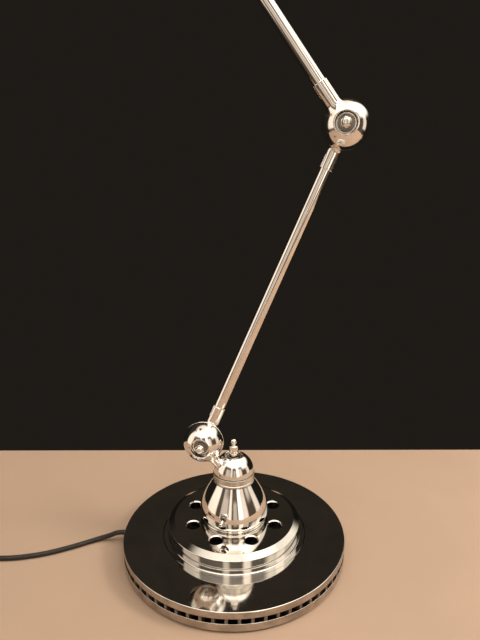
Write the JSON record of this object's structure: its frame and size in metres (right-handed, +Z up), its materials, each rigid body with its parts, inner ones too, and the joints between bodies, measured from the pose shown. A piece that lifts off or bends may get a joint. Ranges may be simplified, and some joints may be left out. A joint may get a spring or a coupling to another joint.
{
  "type": "articulated desk lamp on a brake disc base",
  "caption": "Chromed desk lamp with two tubular arms, ball-shaped friction joints and a bell shade, standing on a ventilated brake disc.",
  "frame": {"origin": "centre of the base pad's underside, on the surface that the lamp stands on, below the base's swivel axis", "axes": "+Z up along the swivel axis, +X to the right as seen from the side with the switch and the joints' cap nuts, +Y away from that side"},
  "size_m": [0.493, 0.3041, 0.7914],
  "materials": {
    "disc_metal": "plated and polished to a mirror",
    "chrome": "polished",
    "satin_nickel": "satin turned",
    "zinc_steel": "zinc plated",
    "brass": "bare, machined",
    "bakelite": "moulded",
    "black_plastic": "moulded",
    "cord_rubber": "smooth, dull",
    "felt": "felt",
    "porcelain": "glazed",
    "opal_glass": "opal"
  },
  "bodies": {
    "base": {"base_pad": "felt", "brake_disc": "disc_metal", "clamp_plate": "zinc_steel", "base_nut": "zinc_steel", "base_nipple": "brass", "base_lead": "black_plastic", "pear_housing": "chrome", "neck_collar": "satin_nickel", "swivel_stud": "zinc_steel", "swivel_lower_insulator": "bakelite", "swivel_contact_ring": "brass", "swivel_spring": "zinc_steel", "swivel_washer": "chrome", "finial_nut": "chrome", "switch_body": "bakelite", "switch_bezel": "chrome", "cord_gland": "cord_rubber", "cord": "cord_rubber", "cord_coil": "cord_rubber", "cord_tail": "cord_rubber", "plug_body": "black_plastic", "plug_pin_left": "brass", "plug_pin_right": "brass"},
    "switch": {"switch_lever": "chrome"},
    "turret": {"base_knuckle": "chrome", "swivel_upper_insulator": "bakelite", "shoulder_front_insulator": "bakelite", "shoulder_spring": "zinc_steel", "shoulder_washer": "zinc_steel", "shoulder_cap_nut": "chrome"},
    "lower_arm": {"lower_arm_bottom_knuckle": "chrome", "lower_arm_tube": "chrome", "lower_arm_lead": "black_plastic", "lower_arm_top_knuckle": "chrome", "shoulder_bolt": "chrome", "shoulder_back_insulator": "bakelite", "shoulder_contact_ring": "brass", "elbow_bolt": "chrome", "elbow_back_insulator": "bakelite", "elbow_contact_ring": "brass"},
    "upper_arm": {"upper_arm_bottom_knuckle": "chrome", "upper_arm_tube": "chrome", "upper_arm_lead": "black_plastic", "upper_arm_top_knuckle": "chrome", "elbow_front_insulator": "bakelite", "elbow_spring": "zinc_steel", "elbow_washer": "zinc_steel", "elbow_cap_nut": "chrome", "head_front_insulator": "bakelite", "head_spring": "zinc_steel", "head_washer": "zinc_steel", "head_cap_nut": "chrome"},
    "head": {"head_knuckle": "chrome", "head_bolt": "chrome", "head_back_insulator": "bakelite", "head_contact_ring": "brass", "shade": "chrome", "lampholder": "porcelain", "shade_ring": "bakelite", "lamp_bulb": "opal_glass"}
  },
  "joints": [
    {"name": "base_swivel", "type": "hinge", "parent": "base", "child": "turret", "pos_m": [0, 0, 0.0993], "axis": [0, 0, 1], "continuous": true},
    {"name": "shoulder", "type": "hinge", "parent": "turret", "child": "lower_arm", "pos_m": [-0.03422, 0.00542, 0.13395], "axis": [-0.1564, -0.9877, 0], "range_deg": [-40, 75]},
    {"name": "elbow", "type": "hinge", "parent": "lower_arm", "child": "upper_arm", "pos_m": [0.10703, -0.01695, 0.47085], "axis": [0.1564, 0.9877, 0], "range_deg": [-75, 170]},
    {"name": "head_tilt", "type": "hinge", "parent": "upper_arm", "child": "head", "pos_m": [-0.10341, 0.01638, 0.76845], "axis": [-0.1564, -0.9877, 0], "range_deg": [-120, 22]},
    {"name": "switch_toggle", "type": "hinge", "parent": "base", "child": "switch", "pos_m": [-0.01065, -0.03641, 0.0623], "axis": [-0.9598, 0.2807, 0], "range_deg": [0, 40]}
  ]
}
